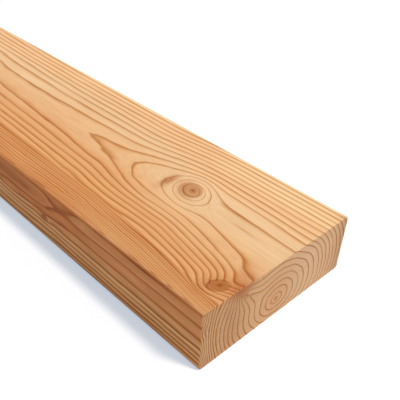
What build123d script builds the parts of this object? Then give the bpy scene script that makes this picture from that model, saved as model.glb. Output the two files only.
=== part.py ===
from build123d import *
import os

# A plank of planed and regularised softwood: one sawn length of solid timber.
# X runs along the grain, Y across the plank and Z up through its thickness.
# The origin is the middle of the underside, so the plank lies on the floor.

# Driving dimensions, in millimetres
plank_length = 2400
plank_width = 150
plank_thickness = 50
arris_radius = 3.0  # the four long edges, eased by the planer
end_arris = 0.4  # the fine edge round each cross-cut end, rubbed off

with BuildPart() as plank:
    # The section: a rectangle whose four corners are eased, drawn on the far sawn end.
    with BuildSketch(Plane.YZ.offset(-plank_length / 2)) as section:
        with Locations((0, plank_thickness / 2)):
            RectangleRounded(plank_width, plank_thickness, arris_radius)
    extrude(amount=plank_length)

    # The two cross-cut ends are square to the length and have almost sharp edges.
    sawn_ends = plank.faces().filter_by(Axis.X)
    chamfer(sawn_ends.edges(), length=end_arris)

plank.part.label = "plank"

os.makedirs("parts", exist_ok=True)
export_step(plank.part, "parts/plank.step")

print("volume in litres", round(plank.part.volume / 1e6, 3))
print("size in mm", plank.part.bounding_box().size)
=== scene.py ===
# A length of planed and regularised softwood, laid flat and seen from above its near end.
import math

import bpy
from mathutils import Matrix, Vector


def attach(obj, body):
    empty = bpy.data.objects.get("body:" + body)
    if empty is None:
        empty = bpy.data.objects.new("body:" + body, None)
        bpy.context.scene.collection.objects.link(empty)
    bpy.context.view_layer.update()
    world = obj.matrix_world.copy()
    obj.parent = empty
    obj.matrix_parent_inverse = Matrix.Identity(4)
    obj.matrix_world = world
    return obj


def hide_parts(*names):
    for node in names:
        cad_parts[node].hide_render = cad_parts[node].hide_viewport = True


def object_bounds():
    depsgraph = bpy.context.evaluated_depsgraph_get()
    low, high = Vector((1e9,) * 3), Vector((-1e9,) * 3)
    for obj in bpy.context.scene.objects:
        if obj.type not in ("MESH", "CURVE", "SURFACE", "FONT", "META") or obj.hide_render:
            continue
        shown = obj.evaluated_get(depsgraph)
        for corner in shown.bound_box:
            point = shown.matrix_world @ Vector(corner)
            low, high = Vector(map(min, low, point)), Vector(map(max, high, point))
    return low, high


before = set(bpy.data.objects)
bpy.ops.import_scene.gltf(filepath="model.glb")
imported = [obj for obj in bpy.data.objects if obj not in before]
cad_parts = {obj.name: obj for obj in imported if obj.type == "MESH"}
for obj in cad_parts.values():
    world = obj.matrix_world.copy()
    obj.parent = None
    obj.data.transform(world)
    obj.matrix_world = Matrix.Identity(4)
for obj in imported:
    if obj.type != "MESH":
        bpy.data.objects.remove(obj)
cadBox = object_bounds()
mm = 0.001  # metres
plankSize = [round((high - low) / mm, 3) for low, high in zip(*cadBox)]  # mm in X, Y and Z
scene = bpy.context.scene
print("frame loaded, size in mm", plankSize)


def srgbToLinear(hexColour):
    parts = [int(hexColour[i:i + 2], 16) / 255 for i in (1, 3, 5)]
    return [p / 12.92 if p <= 0.04045 else ((p + 0.055) / 1.055) ** 2.4 for p in parts] + [1.0]


# Adds one node: settings are its properties, feeds go to its sockets in order or by name
def addNode(tree, kind, feeds=(), **settings):
    node = tree.nodes.new(kind if kind.startswith(("Geometry", "Function", "Node")) else "ShaderNode" + kind)
    for name, value in settings.items():
        setattr(node, name, value)
    named = feeds.items() if isinstance(feeds, dict) else enumerate(feeds)
    for key, feed in named:
        if isinstance(feed, bpy.types.Node):
            feed = next(socket for socket in feed.outputs if socket.enabled)
        if isinstance(feed, bpy.types.NodeSocket):
            tree.links.new(feed, node.inputs[key])
        elif feed is not None:
            node.inputs[key].default_value = feed
    return node


# Camera: the photograph's own view of the near end
cameraValues = {
    "place": (1.3625, -0.2539, 0.3013),  # metres, in the plank's frame
    "azimuth": 43.66,  # degrees, 0 looks along +Y
    "elevation": 35.06,  # degrees looking down
    "roll": 3.67,
    "lens": 52.97,  # mm on a 36 mm sensor
}


def placeCamera(v):
    data = bpy.data.cameras.new("camera")
    data.lens = v["lens"]
    data.sensor_width = 36
    data.clip_start = 0.01
    camera = bpy.data.objects.new("camera", data)
    scene.collection.objects.link(camera)
    turn = Matrix.Rotation(math.radians(v["azimuth"]), 4, "Z")
    tip = Matrix.Rotation(math.radians(90 - v["elevation"]), 4, "X")
    lean = Matrix.Rotation(math.radians(v["roll"]), 4, "Z")
    camera.matrix_world = Matrix.Translation(v["place"]) @ turn @ tip @ lean
    scene.camera = camera


placeCamera(cameraValues)
print("camera placed")

# Studio: a white floor and an even, soft light from above, behind and to the right
studioValues = {
    "sun": 2.32,  # watts for each square metre
    "sunSpread": 10,  # degrees, a soft box some way off
    "sunFrom": (0.55, 0.22, 1.0),
    "sky": 0.36,
    "skyTint": "#FFF3E3",
    "floorTint": "#D3C9BD",
    "floorSize": 12.0,
    "floorGlow": (0.355, 0.467, 0.58),  # where it is seen: the lit floor is white, its shadow stays
}


# 1 where a surface is seen, itself or in gloss or glass, and 0 where it only lights others
def seenOrLit(tree):
    path = addNode(tree, "LightPath").outputs
    seen = addNode(tree, "Math", [path["Is Camera Ray"], path["Is Glossy Ray"]], operation="MAXIMUM")
    return addNode(tree, "Math", [seen, path["Is Transmission Ray"]], operation="MAXIMUM")


def buildStudio(v):
    world = bpy.data.worlds.new("studioSky")
    world.use_nodes = True
    tree = world.node_tree
    tree.nodes.clear()
    light = addNode(tree, "Background", {"Color": srgbToLinear(v["skyTint"]), "Strength": v["sky"]})
    backdrop = addNode(tree, "Background", {"Color": (1, 1, 1, 1), "Strength": 1.0})
    addNode(tree, "OutputWorld", [addNode(tree, "MixShader", [seenOrLit(tree), light, backdrop])])
    scene.world = world

    sunData = bpy.data.lights.new("softSun", "SUN")
    sunData.energy = v["sun"]
    sunData.angle = math.radians(v["sunSpread"])
    sun = bpy.data.objects.new("softSun", sunData)
    sun.rotation_euler = Vector(v["sunFrom"]).to_track_quat("Z", "Y").to_euler()
    scene.collection.objects.link(sun)

    half = v["floorSize"] / 2
    mesh = bpy.data.meshes.new("floor")
    corners = [(-half, -half, 0), (half, -half, 0), (half, half, 0), (-half, half, 0)]
    mesh.from_pydata(corners, [], [(0, 1, 2, 3)])
    floor = bpy.data.objects.new("floor", mesh)
    scene.collection.objects.link(floor)
    paint = bpy.data.materials.new("mattStudioFloor")
    paint.use_nodes = True
    tree = paint.node_tree
    tree.nodes.clear()
    matt = addNode(tree, "BsdfDiffuse", {"Color": srgbToLinear(v["floorTint"])})
    lit = addNode(tree, "Emission", {"Color": (*v["floorGlow"], 1), "Strength": seenOrLit(tree)})
    addNode(tree, "OutputMaterial", [addNode(tree, "AddShader", [matt, lit])])
    mesh.materials.append(paint)


buildStudio(studioValues)
scene.view_settings.view_transform = "Standard"
print("studio built")

# Growth rings: one solid pattern that every face cuts through. Places are in mm: from the near end,
# then Y and Z as in the frame. A ring's dark latewood lies where the count of rings is whole.
growthValues = {
    "pith": (-2.0, 16.5),  # in Y and Z, at the near end
    "ringWidthInner": (6.1, 5.55, 5.2, 4.4),  # towards +Y, -Y, +Z and -Z
    "ringWidthOuter": (4.35, 4.0, 2.8, 3.0),
    "innerRings": 7.8,
    "bendStart": 90.0,  # the pith sinks here
    "bendEnd": 185.0,
    "bendY": 2.0,
    "bendZ": -10.0,
    "roamY": (8.0, 2300.0),  # past the bend the pith roams: how far, and over what length
    "roamZ": (-2.4, 760.0),
    "riseZ": (3.0, 1900.0),
    "outerLift": 14.5,  # the rings' centre rises this much out at the -Y side
    "liftFrom": 45.0,
    "liftTo": 75.0,
    "fineFrom": -62.0,  # past this on the -Y side the rings are finer
    "fineBlend": 3.0,
    "fineGain": 3 / 13,  # more rings for each mm
    "topFrom": -63.8,  # and near the top they are finer still, past a slanting line
    "topSlant": 0.1,  # mm for each mm along
    "topBlend": 2.5,
    "topGain": 0.5,
    "topHeight": (48.0, 50.0),
    "topReach": (140.0, 700.0),  # the line slants no further than this, and the finer rings fade out by that
    "slowHeight": 24.0,  # below this the rings on the -Y face lie closer too
    "slowBlend": 4.0,
    "slowWidth": 8.0,
    "slowDepth": (-76.0, -67.0),
    "warp": (1.0, 260.0, 36.0),  # a slow wander: how far, over what length and what width
    "ripple": (0.3, 40.0, 9.0),  # a fine waviness in the same terms
    "calm": (0.25, 230.0, 420.0),  # the share of the wander at the near end, and where it grows
    "seed": 4.2,  # where along the noise the wander is read, so another number gives another plank
}
# Undulations in the rings: middle and spread, how many rings they add, and how flat their tops are
undulations = [
    {"middle": (91.0, -42.0, 52.0), "spread": (44.0, 29.0, 10.0), "rings": 2.15, "flat": 1},
    {"middle": (0.0, -35.0, 52.0), "spread": (26.0, 14.5, 20.0), "rings": -1.5, "flat": 1},
    {"middle": (0.0, 27.0, 50.0), "spread": (34.0, 16.0, 14.0), "rings": 0.36, "flat": 1},
    {"middle": (52.0, -66.0, 50.0), "spread": (36.0, 16.0, 3.0), "rings": 0.9, "flat": 2},
    {"middle": (26.7, -75.0, 33.8), "spread": (166.7, 6.0, 5.6), "rings": -0.83, "flat": 2},
    {"middle": (179.1, -75.0, 28.7), "spread": (28.5, 6.0, 4.0), "rings": -0.6, "flat": 2},
    {"middle": (223.9, -75.0, 34.4), "spread": (40.9, 10.0, 5.9), "rings": 0.86, "flat": 1},
    {"middle": (227.5, -75.0, 51.6), "spread": (55.7, 10.0, 4.0), "rings": -3.0, "flat": 1},
    {"middle": (152.7, -75.0, 50.7), "spread": (104.1, 9.0, 8.7), "rings": -1.14, "flat": 1},
    {"middle": (220.8, -75.0, -8.0), "spread": (76.8, 8.0, 19.7), "rings": -1.17, "flat": 2},
    {"middle": (228.0, -75.0, 28.4), "spread": (38.9, 10.0, 12.8), "rings": -1.6, "flat": 1},
    {"middle": (150.9, -75.0, 41.5), "spread": (22.0, 8.0, 13.1), "rings": -0.64, "flat": 1},
]
# Branches: where each leaves the pith and where it meets a face. firstRing is the year it started,
# ringWidth its own rings' width, flatten squeezes it, and the trunk's rings swell round it by so
# many rings.
branchValues = [
    {"root": (75.0, -2.0, 16.5), "tip": (97.0, 9.5, 50.0), "firstRing": 1.0, "ringWidth": 1.25,
     "flatten": (1.0, 1.0, 1.0), "swell": 3.46, "along": 12.5, "across": 13.2},
    {"root": (-26.0, -2.0, 16.5), "tip": (11.0, -49.0, 50.0), "firstRing": 2.0, "ringWidth": 0.52,
     "flatten": (1.0, 1.0, 1.5), "swell": 2.0, "along": 10.0, "across": 7.0},
    {"root": (126.0, -2.0, 13.0), "tip": (173.0, -75.0, 22.0), "firstRing": 3.0, "ringWidth": 0.21,
     "flatten": (1.0, 1.0, 1.3), "swell": 0.45, "along": 9.0, "across": 5.0},
]


# A bell: 1 where the offset is nothing, and fading out past a length of 1. A flat of 2 widens its top.
def bell(tree, offset, flat=1):
    square = addNode(tree, "VectorMath", [offset, offset], operation="DOT_PRODUCT")
    square = addNode(tree, "Math", [square, flat], operation="POWER")
    square = addNode(tree, "Math", [square, -1], operation="MULTIPLY")
    return addNode(tree, "Math", [square], operation="EXPONENT")


# How the trunk's rings meet a branch
knotGrowth = {
    "swellFrom": (5.0, 25.0),  # mm along the branch where the swelling starts and is whole
    "lee": (0.8, -0.6, 0.0),  # the side with the browner wood
    "join": 1.2,  # rings over which the two sets run into each other
}


# One branch: the trunk's rings part round it, and inside it the branch's own rings count
def growBranch(tree, away, lean, v):
    along = addNode(tree, "VectorMath", [away, lean], operation="DOT_PRODUCT")
    onAxis = addNode(tree, "VectorMath", {0: lean, "Scale": along}, operation="SCALE")
    beside = addNode(tree, "VectorMath", [away, onAxis], operation="SUBTRACT")
    spread = (1 / v["along"], 1 / v["across"], 1 / v["across"])
    off = addNode(tree, "VectorMath", [beside, spread], operation="MULTIPLY")
    start, end = knotGrowth["swellFrom"]
    grown = addNode(tree, "MapRange", {"Value": along, "From Min": start, "From Max": end},
                    interpolation_type="SMOOTHSTEP")
    bulge = addNode(tree, "Math", [bell(tree, off), grown], operation="MULTIPLY")
    bulge = addNode(tree, "Math", [bulge, v["swell"]], operation="MULTIPLY")
    flattened = addNode(tree, "VectorMath", [beside, v["flatten"]], operation="MULTIPLY")
    radius = addNode(tree, "VectorMath", [flattened], operation="LENGTH")
    count = addNode(tree, "Math", [radius, v["ringWidth"]], operation="DIVIDE")
    behind = addNode(tree, "Math", [along, -1], operation="MULTIPLY")
    behind = addNode(tree, "Math", [behind, 0], operation="MAXIMUM")  # no branch behind the pith
    count = addNode(tree, "Math", [count, behind], operation="ADD")
    count = addNode(tree, "Math", [count, v["firstRing"]], operation="ADD")
    lee = addNode(tree, "VectorMath", [beside], operation="NORMALIZE")
    lee = addNode(tree, "VectorMath", [lee, knotGrowth["lee"]], operation="DOT_PRODUCT")
    return {"bulge": bulge, "count": count, "radius": radius, "lee": lee, "ringWidth": v["ringWidth"]}


# The place in mm from the near end, first as it is and then with the rings' wander in it
def wanderedPlace(tree, position):
    g = growthValues
    exact = addNode(tree, "VectorMath", [position, (-1 / mm, 1 / mm, 1 / mm), (plankSize[0] / 2, 0, 0)],
                    operation="MULTIPLY_ADD")
    calm, calmEnd, wildStart = g["calm"]
    nearEnd = addNode(tree, "SeparateXYZ", [exact]).outputs[0]
    wild = addNode(tree, "MapRange", {"Value": nearEnd, "From Min": calmEnd, "From Max": wildStart,
                                      "To Min": calm, "To Max": 1.0}, interpolation_type="SMOOTHSTEP")
    place = exact
    # the noise keeps to about 0.25 to 0.75, so this pushes by about the reach each way
    for (reach, length, width), share in ((g["warp"], wild), (g["ripple"], 1.0)):
        scaled = addNode(tree, "VectorMath", [exact, (1 / length, 1 / width, 1 / width), (g["seed"], 0, 0)],
                         operation="MULTIPLY_ADD")
        noise = addNode(tree, "TexNoise", {"Vector": scaled, "Scale": 1.0, "Detail": 2.0})
        push = addNode(tree, "VectorMath", [noise.outputs["Color"], (0, 4 * reach, 4 * reach),
                                            (0, -2 * reach, -2 * reach)], operation="MULTIPLY_ADD")
        push = addNode(tree, "VectorMath", {0: push, "Scale": share}, operation="SCALE")
        place = addNode(tree, "VectorMath", [place, push], operation="ADD")
    return exact, place


# The offset from the pith, which bends near the end and then roams, as a vector. Then the same in Y and
# in Z from the rings' centre, which rises out at the -Y side.
def pithOffset(tree, fromEnd, across, up):
    g = growthValues
    bend = addNode(tree, "MapRange", {"Value": fromEnd, "From Min": g["bendStart"], "From Max": g["bendEnd"]},
                   interpolation_type="SMOOTHSTEP")
    past = addNode(tree, "Math", [fromEnd, g["bendEnd"]], operation="SUBTRACT")
    past = addNode(tree, "Math", [past, 0], operation="MAXIMUM")
    waves = []
    for wave, (reach, length) in (("SINE", g["roamY"]), ("SINE", g["roamZ"]), ("COSINE", g["riseZ"])):
        angle = addNode(tree, "Math", [past, 2 * math.pi / length], operation="MULTIPLY")
        turn = addNode(tree, "Math", [angle], operation=wave)
        waves.append(addNode(tree, "Math", [turn, reach], operation="MULTIPLY"))
    pithY = addNode(tree, "Math", [bend, g["bendY"], g["pith"][0]], operation="MULTIPLY_ADD")
    pithY = addNode(tree, "Math", [pithY, waves[0]], operation="ADD")
    pithZ = addNode(tree, "Math", [bend, g["bendZ"], g["pith"][1] + g["riseZ"][0]], operation="MULTIPLY_ADD")
    pithZ = addNode(tree, "Math", [pithZ, waves[1]], operation="ADD")
    pithZ = addNode(tree, "Math", [pithZ, waves[2]], operation="SUBTRACT")
    dy = addNode(tree, "Math", [across, pithY], operation="SUBTRACT")
    dz = addNode(tree, "Math", [up, pithZ], operation="SUBTRACT")
    offset = addNode(tree, "CombineXYZ", [0, dy, dz])
    outwards = addNode(tree, "Math", [dy, -1], operation="MULTIPLY")
    lift = addNode(tree, "MapRange", {"Value": outwards, "From Min": g["liftFrom"], "From Max": g["liftTo"],
                                      "To Max": 1.0}, interpolation_type="SMOOTHSTEP")
    height = addNode(tree, "Math", [bend, -g["bendZ"], g["outerLift"]], operation="MULTIPLY_ADD")
    lift = addNode(tree, "Math", [lift, height], operation="MULTIPLY")
    dz = addNode(tree, "Math", [dz, lift], operation="SUBTRACT")
    return offset, dy, dz


# The count of rings by their width in each direction, first for the inner rings and then for the outer
# ones. Also gives how many of them a mm outwards crosses, and the way they face.
def ringsOutwards(tree, dy, dz):
    g = growthValues
    radial = addNode(tree, "CombineXYZ", [0, dy, dz])
    outward = addNode(tree, "VectorMath", [radial], operation="NORMALIZE")
    radial = addNode(tree, "VectorMath", [radial], operation="LENGTH")
    radial = addNode(tree, "Math", [radial, 0.01], operation="MAXIMUM")  # nothing is divided by 0
    square = addNode(tree, "Math", [radial, radial], operation="MULTIPLY")
    leftwards = addNode(tree, "Math", [dy, -1], operation="MULTIPLY")
    sides = addNode(tree, "CombineXYZ", [dy, leftwards, dz])
    sides = addNode(tree, "VectorMath", [sides, (0, 0, 0)], operation="MAXIMUM")
    sides = addNode(tree, "VectorMath", [sides, sides], operation="MULTIPLY")
    below = addNode(tree, "Math", [dz, 0], operation="MINIMUM")
    below = addNode(tree, "Math", [below, below], operation="MULTIPLY")
    widths = []
    for right, left, above, under in (g["ringWidthInner"], g["ringWidthOuter"]):
        upper = addNode(tree, "VectorMath", [sides, (right, left, above)], operation="DOT_PRODUCT")
        both = addNode(tree, "Math", [below, under, upper], operation="MULTIPLY_ADD")
        widths.append(addNode(tree, "Math", [both, square], operation="DIVIDE"))
    inner, outer = widths
    rings = addNode(tree, "Math", [radial, inner], operation="DIVIDE")
    reach = addNode(tree, "Math", [inner, g["innerRings"]], operation="MULTIPLY")
    beyond = addNode(tree, "Math", [radial, reach], operation="SUBTRACT")
    beyond = addNode(tree, "Math", [beyond, 0], operation="MAXIMUM")
    perMm = addNode(tree, "Math", [1, inner], operation="DIVIDE")
    gain = addNode(tree, "Math", [1, outer], operation="DIVIDE")
    gain = addNode(tree, "Math", [gain, perMm], operation="SUBTRACT")
    rings = addNode(tree, "Math", [beyond, gain, rings], operation="MULTIPLY_ADD")
    isOuter = addNode(tree, "Math", [beyond, 0.0], operation="GREATER_THAN")
    perMm = addNode(tree, "Math", [isOuter, gain, perMm], operation="MULTIPLY_ADD")
    return rings, perMm, outward


# Adds the finer rings out at the -Y side. Also gives how many more of them a mm downwards crosses.
def finerRings(tree, fromEnd, across, up, rings, perMm):
    g = growthValues
    low, high = g["topHeight"]
    atTop = addNode(tree, "MapRange", {"Value": up, "From Min": low, "From Max": high,
                                       "To Max": 1.0}, interpolation_type="SMOOTHSTEP")
    low, high = g["topReach"]
    fade = addNode(tree, "MapRange", {"Value": fromEnd, "From Min": low, "From Max": high, "To Min": 1.0,
                                      "To Max": 0.0}, interpolation_type="SMOOTHSTEP")
    atTop = addNode(tree, "Math", [atTop, fade], operation="MULTIPLY")
    below = addNode(tree, "Math", [1, atTop], operation="SUBTRACT")
    slanted = addNode(tree, "Math", [fromEnd, low], operation="MINIMUM")
    slanted = addNode(tree, "Math", [slanted, g["topSlant"], g["topFrom"]], operation="MULTIPLY_ADD")
    for start, blend, gain, where in ((g["fineFrom"], g["fineBlend"], g["fineGain"], below),
                                      (slanted, g["topBlend"], g["topGain"], atTop)):
        fine = addNode(tree, "Math", [start, across], operation="SUBTRACT")
        fine = addNode(tree, "Math", [fine, 0, blend], operation="SMOOTH_MAX")
        share = addNode(tree, "Math", [where, gain], operation="MULTIPLY")
        rings = addNode(tree, "Math", [fine, share, rings], operation="MULTIPLY_ADD")
        isFine = addNode(tree, "Math", [fine, 0.0], operation="GREATER_THAN")
        perMm = addNode(tree, "Math", [isFine, share, perMm], operation="MULTIPLY_ADD")
    slow = addNode(tree, "Math", [g["slowHeight"], up], operation="SUBTRACT")
    slow = addNode(tree, "Math", [slow, 0, g["slowBlend"]], operation="SMOOTH_MAX")
    low, high = g["slowDepth"]
    share = addNode(tree, "MapRange", {"Value": across, "From Min": low, "From Max": high,
                                       "To Min": 1 / g["slowWidth"], "To Max": 0.0},
                    interpolation_type="SMOOTHSTEP")
    rings = addNode(tree, "Math", [slow, share, rings], operation="MULTIPLY_ADD")
    isSlow = addNode(tree, "Math", [slow, 0.0], operation="GREATER_THAN")
    downwards = addNode(tree, "Math", [isSlow, share], operation="MULTIPLY")
    return rings, perMm, downwards


# Whorls: the later years' branches, out of the near end's reach
whorlValues = {
    "start": 300.0,
    "spacing": 450.0,
    "branches": 2,  # one upwards and one downwards
    "turn": 0.8,  # radians that each may lie aside
    "shift": 24.0,  # mm that each may stand along
    "lean": 0.64,  # mm along the trunk for each mm outwards
    "margin": 60.0,
    "play": 230.0,
    "ringWidth": (0.22, 0.5),
    "flatten": (1.0, 1.0, 1.0),
    "firstRing": (100.0, 1.0),  # so late before the start that no branch shows there, and past it
    "swell": 1.2,
    "along": 13.0,
    "across": 10.0,
}


# Every whorl stands at a chance place in its own stretch, and stretch 0 begins at the start
def growWhorls(tree, fromEnd, dy, dz):
    v = whorlValues
    cell = addNode(tree, "Math", [fromEnd, v["start"]], operation="SUBTRACT")
    cell = addNode(tree, "Math", [cell, v["spacing"]], operation="DIVIDE")
    cell = addNode(tree, "Math", [cell], operation="FLOOR")
    here = addNode(tree, "Math", [cell, -0.5], operation="GREATER_THAN")  # 1 from stretch 0 on
    whorl = addNode(tree, "TexWhiteNoise", {"W": cell}, noise_dimensions="1D")
    root = addNode(tree, "Math", [cell, v["spacing"], v["start"] + v["margin"]], operation="MULTIPLY_ADD")
    root = addNode(tree, "Math", [whorl.outputs["Value"], v["play"], root], operation="MULTIPLY_ADD")
    root = addNode(tree, "Math", [fromEnd, root], operation="SUBTRACT")
    thin, thick = v["ringWidth"]
    never, first = v["firstRing"]
    swell = addNode(tree, "Math", [here, v["swell"]], operation="MULTIPLY")
    firstRing = addNode(tree, "Math", [here, first - never, never], operation="MULTIPLY_ADD")
    branches = []
    for i in range(v["branches"]):
        seed = addNode(tree, "CombineXYZ", [cell, i + 0.5])
        chance = addNode(tree, "TexWhiteNoise", {"Vector": seed}, noise_dimensions="2D")
        jitter, size, shift = addNode(tree, "SeparateXYZ", [chance.outputs["Color"]]).outputs
        away = addNode(tree, "Math", [shift, v["shift"], root], operation="MULTIPLY_ADD")
        away = addNode(tree, "CombineXYZ", [away, dy, dz])
        angle = addNode(tree, "Math", [jitter, v["turn"], math.pi * (i + 0.5) - v["turn"] / 2],
                        operation="MULTIPLY_ADD")
        sideways = addNode(tree, "Math", [angle], operation="COSINE")
        upwards = addNode(tree, "Math", [angle], operation="SINE")
        lean = addNode(tree, "CombineXYZ", [v["lean"], sideways, upwards])
        lean = addNode(tree, "VectorMath", [lean], operation="NORMALIZE")
        width = addNode(tree, "Math", [size, size], operation="MULTIPLY")
        width = addNode(tree, "Math", [width, thick - thin, thin], operation="MULTIPLY_ADD")
        sizes = dict(v, firstRing=firstRing, ringWidth=width, swell=swell)
        branches.append(growBranch(tree, away, lean, sizes))
    return branches


# The count of rings at a place. Also gives the width of the rings there, the way they face, how many
# more of them a mm downwards crosses, how many mm deep the place is in the nearest branch, its distance
# from that branch's heart, how far it lies on the branch's lee side, the place in mm and the offset
# from the pith.
def ringField(tree, position):
    exact, place = wanderedPlace(tree, position)
    fromEnd, across, up = addNode(tree, "SeparateXYZ", [place]).outputs
    offset, dy, dz = pithOffset(tree, fromEnd, across, up)
    rings, perMm, outward = ringsOutwards(tree, dy, dz)
    rings, perMm, downwards = finerRings(tree, fromEnd, across, up, rings, perMm)
    ringWidth = addNode(tree, "Math", [1, perMm], operation="DIVIDE")
    for u in undulations:
        off = addNode(tree, "VectorMath", [place, u["middle"]], operation="SUBTRACT")
        off = addNode(tree, "VectorMath", [off, u["spread"]], operation="DIVIDE")
        rings = addNode(tree, "Math", [bell(tree, off, u["flat"]), u["rings"], rings],
                        operation="MULTIPLY_ADD")

    branches = []
    for v in branchValues:
        lean = (Vector(v["tip"]) - Vector(v["root"])).normalized()
        away = addNode(tree, "VectorMath", [place, v["root"]], operation="SUBTRACT")
        branches.append(growBranch(tree, away, lean, v))
    branches += growWhorls(tree, fromEnd, dy, dz)

    # the branches push the rings apart, and where the nearest one started before a ring, it is what shows
    parted = rings
    near = branches[0]
    for branch in branches:
        parted = addNode(tree, "Math", [parted, branch["bulge"]], operation="SUBTRACT")
    for branch in branches[1:]:
        closer = addNode(tree, "Math", [branch["count"], near["count"]], operation="LESS_THAN")
        near = {key: addNode(tree, "Mix", [closer, None, near[key], branch[key]], data_type="FLOAT")
                for key in near}
    depth = addNode(tree, "Math", [rings, near["count"]], operation="SUBTRACT")
    depth = addNode(tree, "Math", [depth, near["ringWidth"]], operation="MULTIPLY")
    inside = addNode(tree, "Math", [near["count"], parted], operation="LESS_THAN")
    ringWidth = addNode(tree, "Mix", [inside, None, ringWidth, near["ringWidth"]], data_type="FLOAT")
    rings = addNode(tree, "Math", [parted, near["count"], knotGrowth["join"]], operation="SMOOTH_MIN")
    return {"rings": rings, "ringWidth": ringWidth, "downwards": downwards, "outward": outward,
            "depth": depth, "heart": near["radius"], "lee": near["lee"], "place": exact, "offset": offset}


# Planed softwood: raw, dry and unsealed, so matt with a slight sheen on its hard latewood. The
# earlywood is pale straw to orange, and the cross-cut ends are greyer and rougher. The values and the
# function for each part of its look stand together, and woodMaterial joins them.

# Latewood, the dark outer part of a year. It is about as wide in every year, so wide rings are mostly
# earlywood. Some years are a little darker than others, and so are places.
latewoodValues = {
    # how dark a year is against the way through it, with the latewood's outer edge at outerEdge
    "year": [(0, 0.0), (0.30, 0.10), (0.50, 0.34), (0.62, 0.68), (0.73, 1.0), (0.85, 0.12),
             (0.93, 0.0), (1.0, 0.0)],
    "outerEdge": 0.75,
    "commonRing": 3.6,  # mm, the ring width that this holds for
    "widthPower": 0.9,  # 1 would make the latewood just as wide in every year
    "slantPower": 0.55,  # where a face cuts the rings at a slant their lines would spread, so they are
    "slantLeast": 0.22,  # kept narrower by this power of the slant
    "crisp": (0.75, 2.0),  # its lines are broader, under 1, on the narrow faces and narrower on the ends
    "yearStrength": (0.7, 1.1),
    "patchSize": (70.0, 16.0),  # mm along and across
    "patchStrength": (0.72, 1.2),
    "fineRings": (0.2, 1.6, 0.3, 0.95),  # the finest rings show less: two widths, and the strength at each
    "edgeRings": (1.3, 2.4, 1.12, 1.0),  # those by the -Y edge are brought back a little, in the same terms
    "narrowFace": (1.8, 1.0),  # how much stronger it shows on the -Y face near the end, and past it
    "narrowReach": (235.0, 320.0),  # mm from the near end
    "ends": 1.7,  # how much stronger on the cross-cut ends
    "tint": "#CBA47B",  # times the earlywood
}


def latewoodAmount(tree, field, normal, sideGrain, endGrain):
    v = latewoodValues
    place, ringWidth = field["place"], field["ringWidth"]
    fromEnd, across = addNode(tree, "SeparateXYZ", [place]).outputs[:2]
    count = addNode(tree, "Math", [field["rings"], v["outerEdge"]], operation="ADD")
    through = addNode(tree, "Math", [count], operation="FRACT")
    through = addNode(tree, "Math", [through, v["outerEdge"]], operation="SUBTRACT")
    breadth = addNode(tree, "Math", [ringWidth, v["commonRing"]], operation="DIVIDE")
    breadth = addNode(tree, "Math", [breadth, v["widthPower"]], operation="POWER")
    slant = addNode(tree, "VectorMath", [field["outward"], normal], operation="CROSS_PRODUCT")
    slant = addNode(tree, "VectorMath", [slant], operation="LENGTH")
    downwards = addNode(tree, "Math", [field["downwards"], ringWidth], operation="MULTIPLY")
    slant = addNode(tree, "Math", [slant, downwards], operation="ADD")
    slant = addNode(tree, "Math", [slant, v["slantLeast"]], operation="MAXIMUM")
    slant = addNode(tree, "Math", [slant, -v["slantPower"]], operation="POWER")
    breadth = addNode(tree, "Math", [breadth, slant], operation="MULTIPLY")
    for face, crisp in zip((sideGrain, endGrain), v["crisp"]):
        crisp = addNode(tree, "MapRange", {"Value": face, "To Min": 1.0, "To Max": crisp})
        breadth = addNode(tree, "Math", [breadth, crisp], operation="MULTIPLY")
    through = addNode(tree, "Math", [through, breadth, v["outerEdge"]], operation="MULTIPLY_ADD")
    through.use_clamp = True
    late = addNode(tree, "FloatCurve", {"Value": through})
    curve = late.mapping.curves[0]
    while len(curve.points) < len(v["year"]):
        curve.points.new(0.5, 0.5)
    for point, (x, y) in zip(curve.points, v["year"]):
        point.location = (x, y)
    late.mapping.update()

    # how strongly it shows, by the year, the place, the width of the rings and the face
    year = addNode(tree, "Math", [count], operation="FLOOR")
    chance = addNode(tree, "TexWhiteNoise", {"W": year}, noise_dimensions="1D")
    least, most = v["yearStrength"]
    shares = [addNode(tree, "MapRange", {"Value": chance.outputs["Value"], "To Min": least, "To Max": most})]
    along, aside = v["patchSize"]
    stretch = addNode(tree, "VectorMath", [place, (1 / along, 1 / aside, 1 / aside)], operation="MULTIPLY")
    patchy = addNode(tree, "TexNoise", {"Vector": stretch, "Scale": 1.0, "Detail": 2.0})
    least, most = v["patchStrength"]
    shares.append(addNode(tree, "MapRange", {"Value": patchy, "From Min": 0.3, "From Max": 0.7,
                                             "To Min": least, "To Max": most}))
    for start, end, least, most in (v["fineRings"], v["edgeRings"]):
        shares.append(addNode(tree, "MapRange", {"Value": ringWidth, "From Min": start, "From Max": end,
                                                 "To Min": least, "To Max": most}))
    bold, plain = v["narrowFace"]
    start, end = v["narrowReach"]
    boldness = addNode(tree, "MapRange", {"Value": fromEnd, "From Min": start, "From Max": end,
                                          "To Min": bold - plain, "To Max": 0.0})
    leftHalf = addNode(tree, "Math", [across, 0.0], operation="LESS_THAN")
    boldness = addNode(tree, "Math", [boldness, leftHalf, plain], operation="MULTIPLY_ADD")
    for face, most in ((sideGrain, boldness), (endGrain, v["ends"])):
        shares.append(addNode(tree, "MapRange", {"Value": face, "To Min": 1.0, "To Max": most}))
    for share in shares:
        late = addNode(tree, "Math", [late, share], operation="MULTIPLY")
    return late


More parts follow.
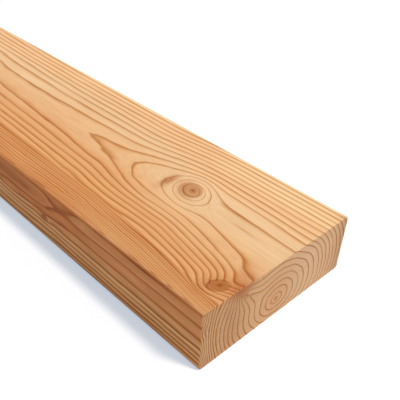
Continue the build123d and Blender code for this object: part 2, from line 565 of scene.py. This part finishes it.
# Earlywood: deep orange by the -Y side and pale straw by the far side, partly its own colour and partly
# painted light, in slow clouds along the grain
earlywoodValues = {
    "colours": [(0.0, "#CE8749"), (0.30, "#E8AF74"), (0.45, "#E7AD79"), (0.58, "#EEC190"),
                (0.68, "#F1CB9F"), (0.84, "#F7C999"), (0.92, "#FCD7A7")],  # by tone
    "sides": (0.28, 1.0),  # the tone at the -Y edge and at the far one; the far side's paler straw is partly painted light
    "cloudSize": (190.0, 24.0),  # mm along and across
    "cloudDepth": 0.36,
    "inwards": (85.0, 150.0, 0.0, -0.10),  # two places from the near end, and the change of tone at each: deeper past the second, partly browner wood and partly painted shade
    "edge": (-75.0, -45.0, 0.27, 0.0),  # paler by the -Y edge: two places in Y, in the same terms
    "narrowFaces": (27.0, 20.0, -0.22, 0.28),  # two heights: a deeper tone above them, and paler below, partly the wood's own tone and partly painted light bounced up from the floor
    "ends": (0.62, 0.6),  # the cross-cut ends' tone, and how far every place goes over to it
}


def earlywoodColourWithPaintedLight(tree, place, sideGrain, endGrain):
    v = earlywoodValues
    fromEnd, across, up = addNode(tree, "SeparateXYZ", [place]).outputs
    left, right = v["sides"]
    half = plankSize[1] / 2
    tone = addNode(tree, "MapRange", {"Value": across, "From Min": -half, "From Max": half, "To Min": left,
                                      "To Max": right}, clamp=False)
    along, aside = v["cloudSize"]
    stretch = addNode(tree, "VectorMath", [place, (1 / along, 1 / aside, 1 / aside)], operation="MULTIPLY")
    cloud = addNode(tree, "TexNoise", {"Vector": stretch, "Scale": 1.0, "Detail": 3.0})
    cloud = addNode(tree, "Math", [cloud, v["cloudDepth"], -v["cloudDepth"] / 2], operation="MULTIPLY_ADD")
    tone = addNode(tree, "Math", [tone, cloud], operation="ADD")
    # on the narrow faces the paler lower part is partly painted bounce light from the floor
    for way, change, share in ((fromEnd, v["inwards"], 1.0), (across, v["edge"], 1.0),
                               (up, v["narrowFaces"], sideGrain)):
        start, end, low, high = change
        change = addNode(tree, "MapRange", {"Value": way, "From Min": start, "From Max": end,
                                            "To Min": low, "To Max": high}, interpolation_type="SMOOTHSTEP")
        tone = addNode(tree, "Math", [change, share, tone], operation="MULTIPLY_ADD")
    common, share = v["ends"]
    share = addNode(tree, "Math", [endGrain, share], operation="MULTIPLY")
    tone = addNode(tree, "Mix", [share, None, tone, common], data_type="FLOAT")
    early = addNode(tree, "ValToRGB", [tone])
    ramp = early.color_ramp
    while len(ramp.elements) < len(v["colours"]):
        ramp.elements.new(0.5)
    for element, (stop, hexColour) in zip(ramp.elements, v["colours"]):
        element.position = stop
        element.color = srgbToLinear(hexColour)
    return early.outputs["Color"]


# Stains and other darker or tinted places, one of them painted shade: middle and spread in the same mm, a
# tint to multiply by and how much of it
stainsAndShade = [
    {"middle": (119.5, 5.0, 50.0), "spread": (4.0, 10.0, 8.0), "tint": "#C08A5C", "share": 0.8},
    {"middle": (40.0, 3.0, 50.0), "spread": (11.0, 0.8, 3.0), "tint": "#E3B096", "share": 0.7},
    {"middle": (7.0, -29.0, 50.0), "spread": (7.0, 6.0, 6.0), "tint": "#D3A27A", "share": 0.5},
    {"middle": (2.0, -43.0, 50.0), "spread": (8.0, 9.0, 6.0), "tint": "#D8A67E", "share": 0.6},
    {"middle": (0.0, -37.0, 47.0), "spread": (3.0, 8.0, 5.0), "tint": "#E6B8A0", "share": 0.5},
    {"middle": (0.0, 0.0, 18.0), "spread": (3.0, 15.0, 22.0), "tint": "#FCF1EC", "share": 1.0},
    # painted shade: a darker, redder patch on the upper -Y face, about 215 mm from the near end
    {"middle": (215.0, -75.0, 40.0), "spread": (60.0, 5.0, 9.0), "tint": "#E3C4A6", "share": 0.7},
    {"middle": (90.0, -75.0, 38.0), "spread": (150.0, 4.0, 13.0), "tint": "#FFF1F8", "share": 1.0},
    {"middle": (60.0, -75.0, 0.0), "spread": (300.0, 4.0, 6.0), "tint": "#FCF8F7", "share": 1.0},
    {"middle": (0.0, -46.0, 25.0), "spread": (6.0, 14.0, 40.0), "tint": "#F2EEEE", "share": 1.0},
    {"middle": (75.0, -75.0, 48.4), "spread": (110.0, 4.0, 1.0), "tint": "#B98A5E", "share": 0.6},
    # darker and greyer along the end's +Y edge
    {"middle": (0.0, 76.0, 25.0), "spread": (6.0, 12.0, 60.0), "tint": "#DFD8D4", "share": 0.9},
]


def withStainsAndShade(tree, place, colour):
    for s in stainsAndShade:
        off = addNode(tree, "VectorMath", [place, s["middle"]], operation="SUBTRACT")
        off = addNode(tree, "VectorMath", [off, s["spread"]], operation="DIVIDE")
        share = addNode(tree, "Math", [bell(tree, off), s["share"]], operation="MULTIPLY")
        colour = addNode(tree, "Mix", {0: share, 6: colour, 7: srgbToLinear(s["tint"])}, data_type="RGBA",
                         blend_type="MULTIPLY")
    return colour


# Fibres: fine streaks that follow the rings round the knots
fibreValues = {
    "width": 0.9,  # mm, a bundle of fibres as coarse as a render shows it, because one is 0.03 mm
    "length": 34.0,
    "drift": 3.0,  # a streak breaks up over this many widths across
    "ring": 5.0,  # mm that a ring counts as
    "mean": 0.99,
    "contrast": (0.28, 0.6),  # on the top, and on the narrow faces
}


def fibreStreaks(tree, field, sideGrain):
    v = fibreValues
    fromEnd, across = addNode(tree, "SeparateXYZ", [field["place"]]).outputs[:2]
    scales = ((fromEnd, 1 / v["length"]), (across, 1 / (v["drift"] * v["width"])),
              (field["rings"], v["ring"] / v["width"]))
    steps = [addNode(tree, "Math", [way, scale], operation="MULTIPLY") for way, scale in scales]
    fibre = addNode(tree, "TexNoise", {"Vector": addNode(tree, "CombineXYZ", steps), "Scale": 1.0,
                                       "Detail": 2.0})
    fibre = addNode(tree, "Math", [fibre, 0.5], operation="SUBTRACT")
    onTop, onNarrow = v["contrast"]
    contrast = addNode(tree, "MapRange", {"Value": sideGrain, "To Min": onTop, "To Max": onNarrow})
    return addNode(tree, "Math", [fibre, contrast, v["mean"]], operation="MULTIPLY_ADD")


# Knots: a browner core with a dark outline and heart, and brown wood on the lee side. The pith's own
# dark spot is here too. Each reach is from, to and the share, in mm.
knotValues = {
    "core": "#C07F48",
    "coreReach": (-1.0, 0.9, 0.7),  # into the knot
    "skirtReach": (-8.0, 0.0, 0.75),
    "skirtLee": (-0.4, 0.9),  # the skirt starts and is whole this far round to the lee side
    "outline": "#AE7B4C",  # times what lies under it, as the next two colours
    "outlineReach": (0.1, 1.0, 0.75),  # out from the knot's edge, both ways
    "outlineLee": (-0.8, 0.6, 0.12),  # and the share of it on the other side
    "heart": "#C08F68",
    "heartReach": (0.5, 2.0, 0.7),
    "pith": "#CBA27A",
    "pithReach": (0.8, 2.8, 0.65),
    "onEnds": 0.2,  # the share of a knot's colours that the cross-cut ends show
}


def withKnots(tree, field, colour, tint, endGrain):
    v = knotValues
    depth, lee = field["depth"], field["lee"]
    onFace = addNode(tree, "MapRange", {"Value": endGrain, "To Min": 1.0, "To Max": v["onEnds"]})
    brown = []
    for start, end, most in (v["coreReach"], v["skirtReach"]):
        brown.append(addNode(tree, "MapRange", {"Value": depth, "From Min": start, "From Max": end,
                                                "To Max": most}, interpolation_type="SMOOTHSTEP"))
    start, end = v["skirtLee"]
    leeward = addNode(tree, "MapRange", {"Value": lee, "From Min": start, "From Max": end})
    skirt = addNode(tree, "Math", [brown[1], leeward], operation="MULTIPLY")
    brown = addNode(tree, "Math", [brown[0], skirt], operation="MAXIMUM")
    brown = addNode(tree, "Math", [brown, onFace], operation="MULTIPLY")
    core = addNode(tree, "Mix", {0: 1.0, 6: srgbToLinear(v["core"]), 7: tint}, data_type="RGBA",
                   blend_type="MULTIPLY")
    colour = addNode(tree, "Mix", {0: brown, 6: colour, 7: core}, data_type="RGBA")

    # the outline, the heart and the pith
    fromEdge = addNode(tree, "Math", [depth], operation="ABSOLUTE")
    fromPith = addNode(tree, "VectorMath", [field["offset"]], operation="LENGTH")
    start, end, least = v["outlineLee"]
    outlined = addNode(tree, "MapRange", {"Value": lee, "From Min": start, "From Max": end, "To Min": least})
    outlined = addNode(tree, "Math", [outlined, onFace], operation="MULTIPLY")
    inside = addNode(tree, "MapRange", {"Value": depth, "From Min": 0.0, "From Max": 1.0})
    inside = addNode(tree, "Math", [inside, onFace], operation="MULTIPLY")
    for name, distance, limit in (("outline", fromEdge, outlined), ("heart", field["heart"], inside),
                                  ("pith", fromPith, 1.0)):
        start, end, most = v[name + "Reach"]
        spot = addNode(tree, "MapRange", {"Value": distance, "From Min": start, "From Max": end,
                                          "To Min": most, "To Max": 0.0}, interpolation_type="SMOOTHSTEP")
        spot = addNode(tree, "Math", [spot, limit], operation="MULTIPLY")
        colour = addNode(tree, "Mix", {0: spot, 6: colour, 7: srgbToLinear(v[name])}, data_type="RGBA",
                         blend_type="MULTIPLY")
    return colour


# Cross-cut ends: rays out from the pith, open pores and the saw's marks, all darker towards -Y
endValues = {
    "tint": "#ECEEF8",  # times the colour
    "base": 0.78,
    "rays": (22.0, 0.22, 0.24),  # steps for each radian and each ring, and how deep in colour
    "pores": (0.9, 0.2),  # steps for each mm, and how deep
    "sawPitch": 1.6,  # mm between the saw's marks
    "sawLean": (0.74, 0.67),  # the way across them, in Y and Z
    "sawDepth": 0.03,
    "sawPatches": (0.055, 0.5, 0.62),  # they show in patches: steps for each mm, then none and all of them
    "dark": (-75.0, -25.0, 0.88),
}


def sawnEndColour(tree, field, colour):
    v = endValues
    place = field["place"]
    across, up = addNode(tree, "SeparateXYZ", [place]).outputs[1:]
    perRadian, perRing, rayDepth = v["rays"]
    pithY, pithZ = addNode(tree, "SeparateXYZ", [field["offset"]]).outputs[1:]
    angle = addNode(tree, "Math", [pithZ, pithY], operation="ARCTAN2")
    angle = addNode(tree, "Math", [angle, perRadian], operation="MULTIPLY")
    ringwise = addNode(tree, "Math", [field["rings"], perRing], operation="MULTIPLY")
    rays = addNode(tree, "TexNoise", {"Vector": addNode(tree, "CombineXYZ", [angle, ringwise, 0]),
                                      "Scale": 1.0, "Detail": 3.0})
    perMm, poreDepth = v["pores"]
    pores = addNode(tree, "TexNoise", {"Vector": place, "Scale": perMm, "Detail": 2.0})
    turnY, turnZ = (2 * math.pi * share / v["sawPitch"] for share in v["sawLean"])
    sawY = addNode(tree, "Math", [across, turnY], operation="MULTIPLY")
    sawn = addNode(tree, "Math", [up, turnZ, sawY], operation="MULTIPLY_ADD")
    sawn = addNode(tree, "Math", [sawn], operation="SINE")
    perMm, start, end = v["sawPatches"]
    patches = addNode(tree, "TexNoise", {"Vector": place, "Scale": perMm, "Detail": 1.0})
    patches = addNode(tree, "MapRange", {"Value": patches, "From Min": start, "From Max": end})
    sawn = addNode(tree, "Math", [sawn, patches], operation="MULTIPLY")
    shade = v["base"]
    for mark, markDepth in ((rays, rayDepth), (pores, poreDepth), (sawn, v["sawDepth"])):
        shade = addNode(tree, "Math", [mark, markDepth, shade], operation="MULTIPLY_ADD")
    start, end, least = v["dark"]
    dark = addNode(tree, "MapRange", {"Value": across, "From Min": start, "From Max": end, "To Min": least,
                                      "To Max": 1.0})
    shade = addNode(tree, "Math", [shade, dark], operation="MULTIPLY")
    colour = addNode(tree, "VectorMath", {0: colour, "Scale": shade}, operation="SCALE")
    return addNode(tree, "VectorMath", [colour, srgbToLinear(v["tint"])[:3]], operation="MULTIPLY")


# Finish: planed faces with a slight sheen, rough ends, and the grain felt as a low relief
finishValues = {
    "faces": (0.6, 0.9),  # an end's or a narrow face's look starts and is whole at this much of the normal
    "roughness": 0.58,
    "endRoughness": 0.75,
    "ior": 1.42,
    "gloss": 0.2,
    "bump": 0.35,
    "bumpHeight": 0.2 * mm,
    "lateHeight": 0.5,  # the latewood's share of it
}


def woodMaterial(v):
    wood = bpy.data.materials.new("planedSoftwood")
    wood.use_nodes = True
    tree = wood.node_tree
    tree.nodes.clear()
    where = addNode(tree, "TexCoord")
    normal = where.outputs["Normal"]
    field = ringField(tree, where.outputs["Object"])
    facing = addNode(tree, "VectorMath", [normal], operation="ABSOLUTE")
    facing = addNode(tree, "SeparateXYZ", [facing]).outputs
    start, end = v["faces"]
    endGrain, sideGrain = (addNode(tree, "MapRange", {"Value": way, "From Min": start, "From Max": end})
                           for way in facing[:2])

    late = latewoodAmount(tree, field, normal, sideGrain, endGrain)
    tint = [addNode(tree, "Math", [part, late], operation="POWER")
            for part in srgbToLinear(latewoodValues["tint"])[:3]]
    tint = addNode(tree, "CombineXYZ", tint)
    colour = earlywoodColourWithPaintedLight(tree, field["place"], sideGrain, endGrain)
    colour = addNode(tree, "Mix", {0: 1.0, 6: colour, 7: tint}, data_type="RGBA", blend_type="MULTIPLY")
    colour = withStainsAndShade(tree, field["place"], colour)
    streaks = fibreStreaks(tree, field, sideGrain)
    colour = addNode(tree, "VectorMath", {0: colour, "Scale": streaks}, operation="SCALE")
    colour = withKnots(tree, field, colour, tint, endGrain)
    endColour = sawnEndColour(tree, field, colour)
    colour = addNode(tree, "Mix", {0: endGrain, 6: colour, 7: endColour}, data_type="RGBA")

    rough = addNode(tree, "MapRange", {"Value": endGrain, "To Min": v["roughness"],
                                       "To Max": v["endRoughness"]})
    height = addNode(tree, "Math", [late, v["lateHeight"], streaks], operation="MULTIPLY_ADD")
    bump = addNode(tree, "Bump", {"Strength": v["bump"], "Distance": v["bumpHeight"], "Height": height})
    surface = addNode(tree, "BsdfPrincipled", {"Base Color": colour, "Roughness": rough, "IOR": v["ior"],
                                               "Specular IOR Level": v["gloss"], "Normal": bump})
    addNode(tree, "OutputMaterial", [surface])
    return wood


wood = woodMaterial(finishValues)
print("wood built")

# The planed surface: a fine skin in place of the plain solid, with its eased long edges, rubbed ends and
# the low relief that drying leaves, where the wide soft earlywood sinks and the knots stand proud.
plankValues = {
    "Length": plankSize[0],  # mm, as all but the counts
    "Width": plankSize[1],
    "Thickness": plankSize[2],
    "Arris": 3.0,  # radius of the long edges
    "Rubbed Edge": 0.4,
    "Rows": 330,  # vertices along, across and up
    "Columns": 100,
    "Layers": 36,
    "Fine Length": 260.0,  # from the near end, where rows lie close together
    "Fine Rows": 150,
    "Relief": 0.08,
}
# Relief: only rings this wide take it, from none of it to all of it, because finer ones would need more
# vertices, and it stops this many mm short of a knot and inside it
reliefValues = {"rings": (3.0, 4.5), "knots": (-1.5, 0.5)}
# Where the skin's strips and its two ends lie on its map, as shares of the map
mapValues = {"margin": 0.004, "strips": 0.776, "endWidth": 0.43, "endGap": 0.5, "endStart": (0.02, 0.81)}
cubeOutside = 0.4999  # past this a place on the unit cube lies on its outside, which is at 0.5
crowding = 0.5  # how far the section's vertices crowd to the long edges, where 0 spaces them evenly
sharpAngle = 30  # degrees, so that only the rubbed edges stay sharp


# The rows from the near end, which stand closer in its first stretch: each one's count, the last one's,
# its mm from the near end and how far the rubbed end brings it inwards
def rowPlaces(tree, given, alongCube):
    edge = given["Rubbed Edge"]
    last = addNode(tree, "Math", [given["Rows"], 1], operation="SUBTRACT")
    lastRow = addNode(tree, "Math", [last, 1], operation="SUBTRACT")
    fineRow = addNode(tree, "Math", [given["Fine Rows"], 1], operation="ADD")
    row = addNode(tree, "Math", [0.5, alongCube], operation="SUBTRACT")
    row = addNode(tree, "Math", [row, last], operation="MULTIPLY")
    fine = addNode(tree, "Math", [given["Fine Length"], edge], operation="SUBTRACT")
    coarse = addNode(tree, "Math", [given["Length"], given["Fine Length"]], operation="SUBTRACT")
    coarse = addNode(tree, "Math", [coarse, edge], operation="SUBTRACT")
    fromEnd = 0.0
    for start, end, span in ((0, 1, edge), (1, fineRow, fine), (fineRow, lastRow, coarse),
                             (lastRow, last, edge)):
        part = addNode(tree, "MapRange", {"Value": row, "From Min": start, "From Max": end, "To Max": span})
        fromEnd = addNode(tree, "Math", [fromEnd, part], operation="ADD")
    atNear = addNode(tree, "MapRange", {"Value": row, "To Min": edge, "To Max": 0.0})
    atFar = addNode(tree, "MapRange", {"Value": row, "From Min": lastRow, "From Max": last, "To Max": edge})
    inset = addNode(tree, "Math", [atNear, atFar], operation="ADD")
    return row, last, fromEnd, inset


# The section, with its vertices closer near the long edges, and those edges eased. Also gives each
# vertex's mm from the -Y side and from the underside.
def easedSection(tree, given, acrossCube, upCube, inset):
    runs, kept, over = [], [], []
    for share, size in ((acrossCube, given["Width"]), (upCube, given["Thickness"])):
        half = addNode(tree, "Math", [size, 0.5], operation="MULTIPLY")
        wave = addNode(tree, "Math", [share, 2 * math.pi], operation="MULTIPLY")
        wave = addNode(tree, "Math", [wave], operation="SINE")
        whole = addNode(tree, "Math", [wave, crowding / (2 * math.pi), share], operation="MULTIPLY_ADD")
        whole = addNode(tree, "Math", [whole, size], operation="MULTIPLY")
        shrunk = addNode(tree, "Math", [inset, half], operation="DIVIDE")
        shrunk = addNode(tree, "Math", [1, shrunk], operation="SUBTRACT")
        side = addNode(tree, "Math", [whole, shrunk], operation="MULTIPLY")
        core = addNode(tree, "Math", [half, given["Arris"]], operation="SUBTRACT")
        coreStart = addNode(tree, "Math", [core, -1], operation="MULTIPLY")
        inside = addNode(tree, "Clamp", [side, coreStart, core])
        runs.append(addNode(tree, "Math", [whole, half], operation="ADD"))
        kept.append(inside)
        over.append(addNode(tree, "Math", [side, inside], operation="SUBTRACT"))
    corner = addNode(tree, "CombineXYZ", [0, *over])
    sizes = addNode(tree, "VectorMath", [corner], operation="ABSOLUTE")
    sizes = addNode(tree, "SeparateXYZ", [sizes]).outputs
    reach = addNode(tree, "Math", [sizes[1], sizes[2]], operation="MAXIMUM")
    corner = addNode(tree, "VectorMath", [corner], operation="NORMALIZE")
    corner = addNode(tree, "VectorMath", {0: corner, "Scale": reach}, operation="SCALE")
    section = addNode(tree, "VectorMath", [addNode(tree, "CombineXYZ", [0, *kept]), corner], operation="ADD")
    return section, runs


# Relief, inwards only
def sunkEarlywood(tree, given, skin):
    field = ringField(tree, addNode(tree, "GeometryNodeInputPosition").outputs[0])
    sunk = addNode(tree, "Math", [field["rings"], 2 * math.pi], operation="MULTIPLY")
    sunk = addNode(tree, "Math", [sunk], operation="COSINE")
    sunk = addNode(tree, "Math", [sunk, -0.5, 0.5], operation="MULTIPLY_ADD")
    start, end = reliefValues["rings"]
    wide = addNode(tree, "MapRange", {"Value": field["ringWidth"], "From Min": start, "From Max": end})
    start, end = reliefValues["knots"]
    clear = addNode(tree, "MapRange", {"Value": field["depth"], "From Min": start, "From Max": end,
                                       "To Min": 1.0, "To Max": 0.0})
    for share in (wide, clear, given["Relief"], -mm):
        sunk = addNode(tree, "Math", [sunk, share], operation="MULTIPLY")
    normal = addNode(tree, "GeometryNodeInputNormal")
    offset = addNode(tree, "VectorMath", {0: normal.outputs["Normal"], "Scale": sunk}, operation="SCALE")
    return addNode(tree, "GeometryNodeSetPosition", {"Geometry": skin, "Offset": offset})


# The map: bottom, -Y side, top and +Y side as strips, by row and by mm, and the ends beside each other
def mapSpots(tree, given, flat, row, last, runs):
    middle = addNode(tree, "GeometryNodeFieldOnDomain", {0: flat}, data_type="FLOAT_VECTOR",
                     domain="FACE")
    middle = addNode(tree, "SeparateXYZ", [middle]).outputs
    isEnd = addNode(tree, "Math", [middle[0]], operation="ABSOLUTE")
    isEnd = addNode(tree, "FunctionNodeCompare", [isEnd, cubeOutside], operation="GREATER_THAN")
    isFarEnd = addNode(tree, "FunctionNodeCompare", [middle[0], 0.0], operation="LESS_THAN")
    isTop = addNode(tree, "FunctionNodeCompare", [middle[2], cubeOutside], operation="GREATER_THAN")
    isBottom = addNode(tree, "FunctionNodeCompare", [middle[2], -cubeOutside], operation="LESS_THAN")
    isLeft = addNode(tree, "FunctionNodeCompare", [middle[1], -cubeOutside], operation="LESS_THAN")
    fromLeft, fromBelow = runs
    toTop = addNode(tree, "Math", [given["Width"], given["Thickness"]], operation="ADD")
    girth = addNode(tree, "Math", [toTop, 2], operation="MULTIPLY")
    onBottom = addNode(tree, "Math", [given["Width"], fromLeft], operation="SUBTRACT")
    onLeft = addNode(tree, "Math", [given["Width"], fromBelow], operation="ADD")
    onTop = addNode(tree, "Math", [toTop, fromLeft], operation="ADD")
    around = addNode(tree, "Math", [girth, fromBelow], operation="SUBTRACT")
    for test, run in ((isLeft, onLeft), (isTop, onTop), (isBottom, onBottom)):
        around = addNode(tree, "GeometryNodeSwitch", [test, around, run], input_type="FLOAT")
    m = mapValues
    u = addNode(tree, "Math", [row, last], operation="DIVIDE")
    u = addNode(tree, "Math", [u, 1 - 2 * m["margin"], m["margin"]], operation="MULTIPLY_ADD")
    v = addNode(tree, "Math", [around, girth], operation="DIVIDE")
    v = addNode(tree, "Math", [v, m["strips"], m["margin"]], operation="MULTIPLY_ADD")
    perMm = addNode(tree, "Math", [m["endWidth"], given["Width"]], operation="DIVIDE")
    endU = addNode(tree, "Math", [fromLeft, perMm, m["endStart"][0]], operation="MULTIPLY_ADD")
    farU = addNode(tree, "Math", [endU, m["endGap"]], operation="ADD")
    endU = addNode(tree, "GeometryNodeSwitch", [isFarEnd, endU, farU], input_type="FLOAT")
    endV = addNode(tree, "Math", [fromBelow, perMm, m["endStart"][1]], operation="MULTIPLY_ADD")
    u = addNode(tree, "GeometryNodeSwitch", [isEnd, u, endU], input_type="FLOAT")
    v = addNode(tree, "GeometryNodeSwitch", [isEnd, v, endV], input_type="FLOAT")
    return addNode(tree, "CombineXYZ", [u, v])


def planedSurface(name):
    tree = bpy.data.node_groups.new(name, "GeometryNodeTree")
    for key, value in plankValues.items():
        kind = "NodeSocketInt" if isinstance(value, int) else "NodeSocketFloat"
        tree.interface.new_socket(key, in_out="INPUT", socket_type=kind).default_value = value
    tree.interface.new_socket("Timber", in_out="INPUT", socket_type="NodeSocketMaterial")
    tree.interface.new_socket("Geometry", in_out="OUTPUT", socket_type="NodeSocketGeometry")
    given = addNode(tree, "NodeGroupInput").outputs
    cube = addNode(tree, "GeometryNodeMeshCube", {"Vertices X": given["Rows"], "Vertices Y": given["Columns"],
                                                  "Vertices Z": given["Layers"]})
    flat = addNode(tree, "GeometryNodeCaptureAttribute", {"Geometry": cube.outputs["Mesh"]})
    flat.capture_items.new("VECTOR", "flat")
    tree.links.new(addNode(tree, "GeometryNodeInputPosition").outputs[0], flat.inputs["flat"])
    alongCube, acrossCube, upCube = addNode(tree, "SeparateXYZ", [flat.outputs["flat"]]).outputs

    row, last, fromEnd, inset = rowPlaces(tree, given, alongCube)
    section, runs = easedSection(tree, given, acrossCube, upCube, inset)
    along = addNode(tree, "Math", [given["Length"], 0.5], operation="MULTIPLY")
    along = addNode(tree, "Math", [along, fromEnd], operation="SUBTRACT")
    halfUp = addNode(tree, "Math", [given["Thickness"], 0.5], operation="MULTIPLY")
    place = addNode(tree, "CombineXYZ", [along, 0, halfUp])
    place = addNode(tree, "VectorMath", [place, section], operation="ADD")
    place = addNode(tree, "VectorMath", {0: place, "Scale": mm}, operation="SCALE")
    skin = addNode(tree, "GeometryNodeSetPosition", {"Geometry": flat.outputs["Geometry"], "Position": place})
    skin = sunkEarlywood(tree, given, skin)
    spot = mapSpots(tree, given, flat.outputs["flat"], row, last, runs)
    skin = addNode(tree, "GeometryNodeStoreNamedAttribute",
                   {"Geometry": skin, "Name": "OFBake", "Value": spot}, data_type="FLOAT2", domain="CORNER")

    angle = addNode(tree, "GeometryNodeInputMeshEdgeAngle")
    sharp = addNode(tree, "FunctionNodeCompare", [angle.outputs["Unsigned Angle"], math.radians(sharpAngle)],
                    operation="GREATER_THAN")
    skin = addNode(tree, "GeometryNodeSetShadeSmooth", {"Geometry": skin, "Selection": sharp,
                                                        "Shade Smooth": False}, domain="EDGE")
    skin = addNode(tree, "GeometryNodeRealizeInstances", {"Geometry": skin})
    skin = addNode(tree, "GeometryNodeSetMaterial", {"Geometry": skin, "Material": given["Timber"]})
    addNode(tree, "NodeGroupOutput", [skin])
    return tree


def buildPlank():
    tree = planedSurface("planedSurface")
    piece = bpy.data.objects.new("planedPlank", bpy.data.meshes.new("planedPlank"))
    scene.collection.objects.link(piece)
    modifier = piece.modifiers.new("planedSurface", "NODES")
    modifier.node_group = tree
    wanted = dict(plankValues, Timber=wood)
    for item in tree.interface.items_tree:
        if item.in_out == "INPUT":
            modifier[item.identifier] = wanted[item.name]
    evaluated = piece.evaluated_get(bpy.context.evaluated_depsgraph_get())
    mesh = bpy.data.meshes.new_from_object(evaluated)
    piece.modifiers.clear()
    piece.data = mesh
    mesh.name = "planedPlank"
    print("plank skin", len(mesh.vertices), "vertices", len(mesh.polygons), "faces", mesh.uv_layers.keys())
    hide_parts("plank")
    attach(piece, "root")


buildPlank()
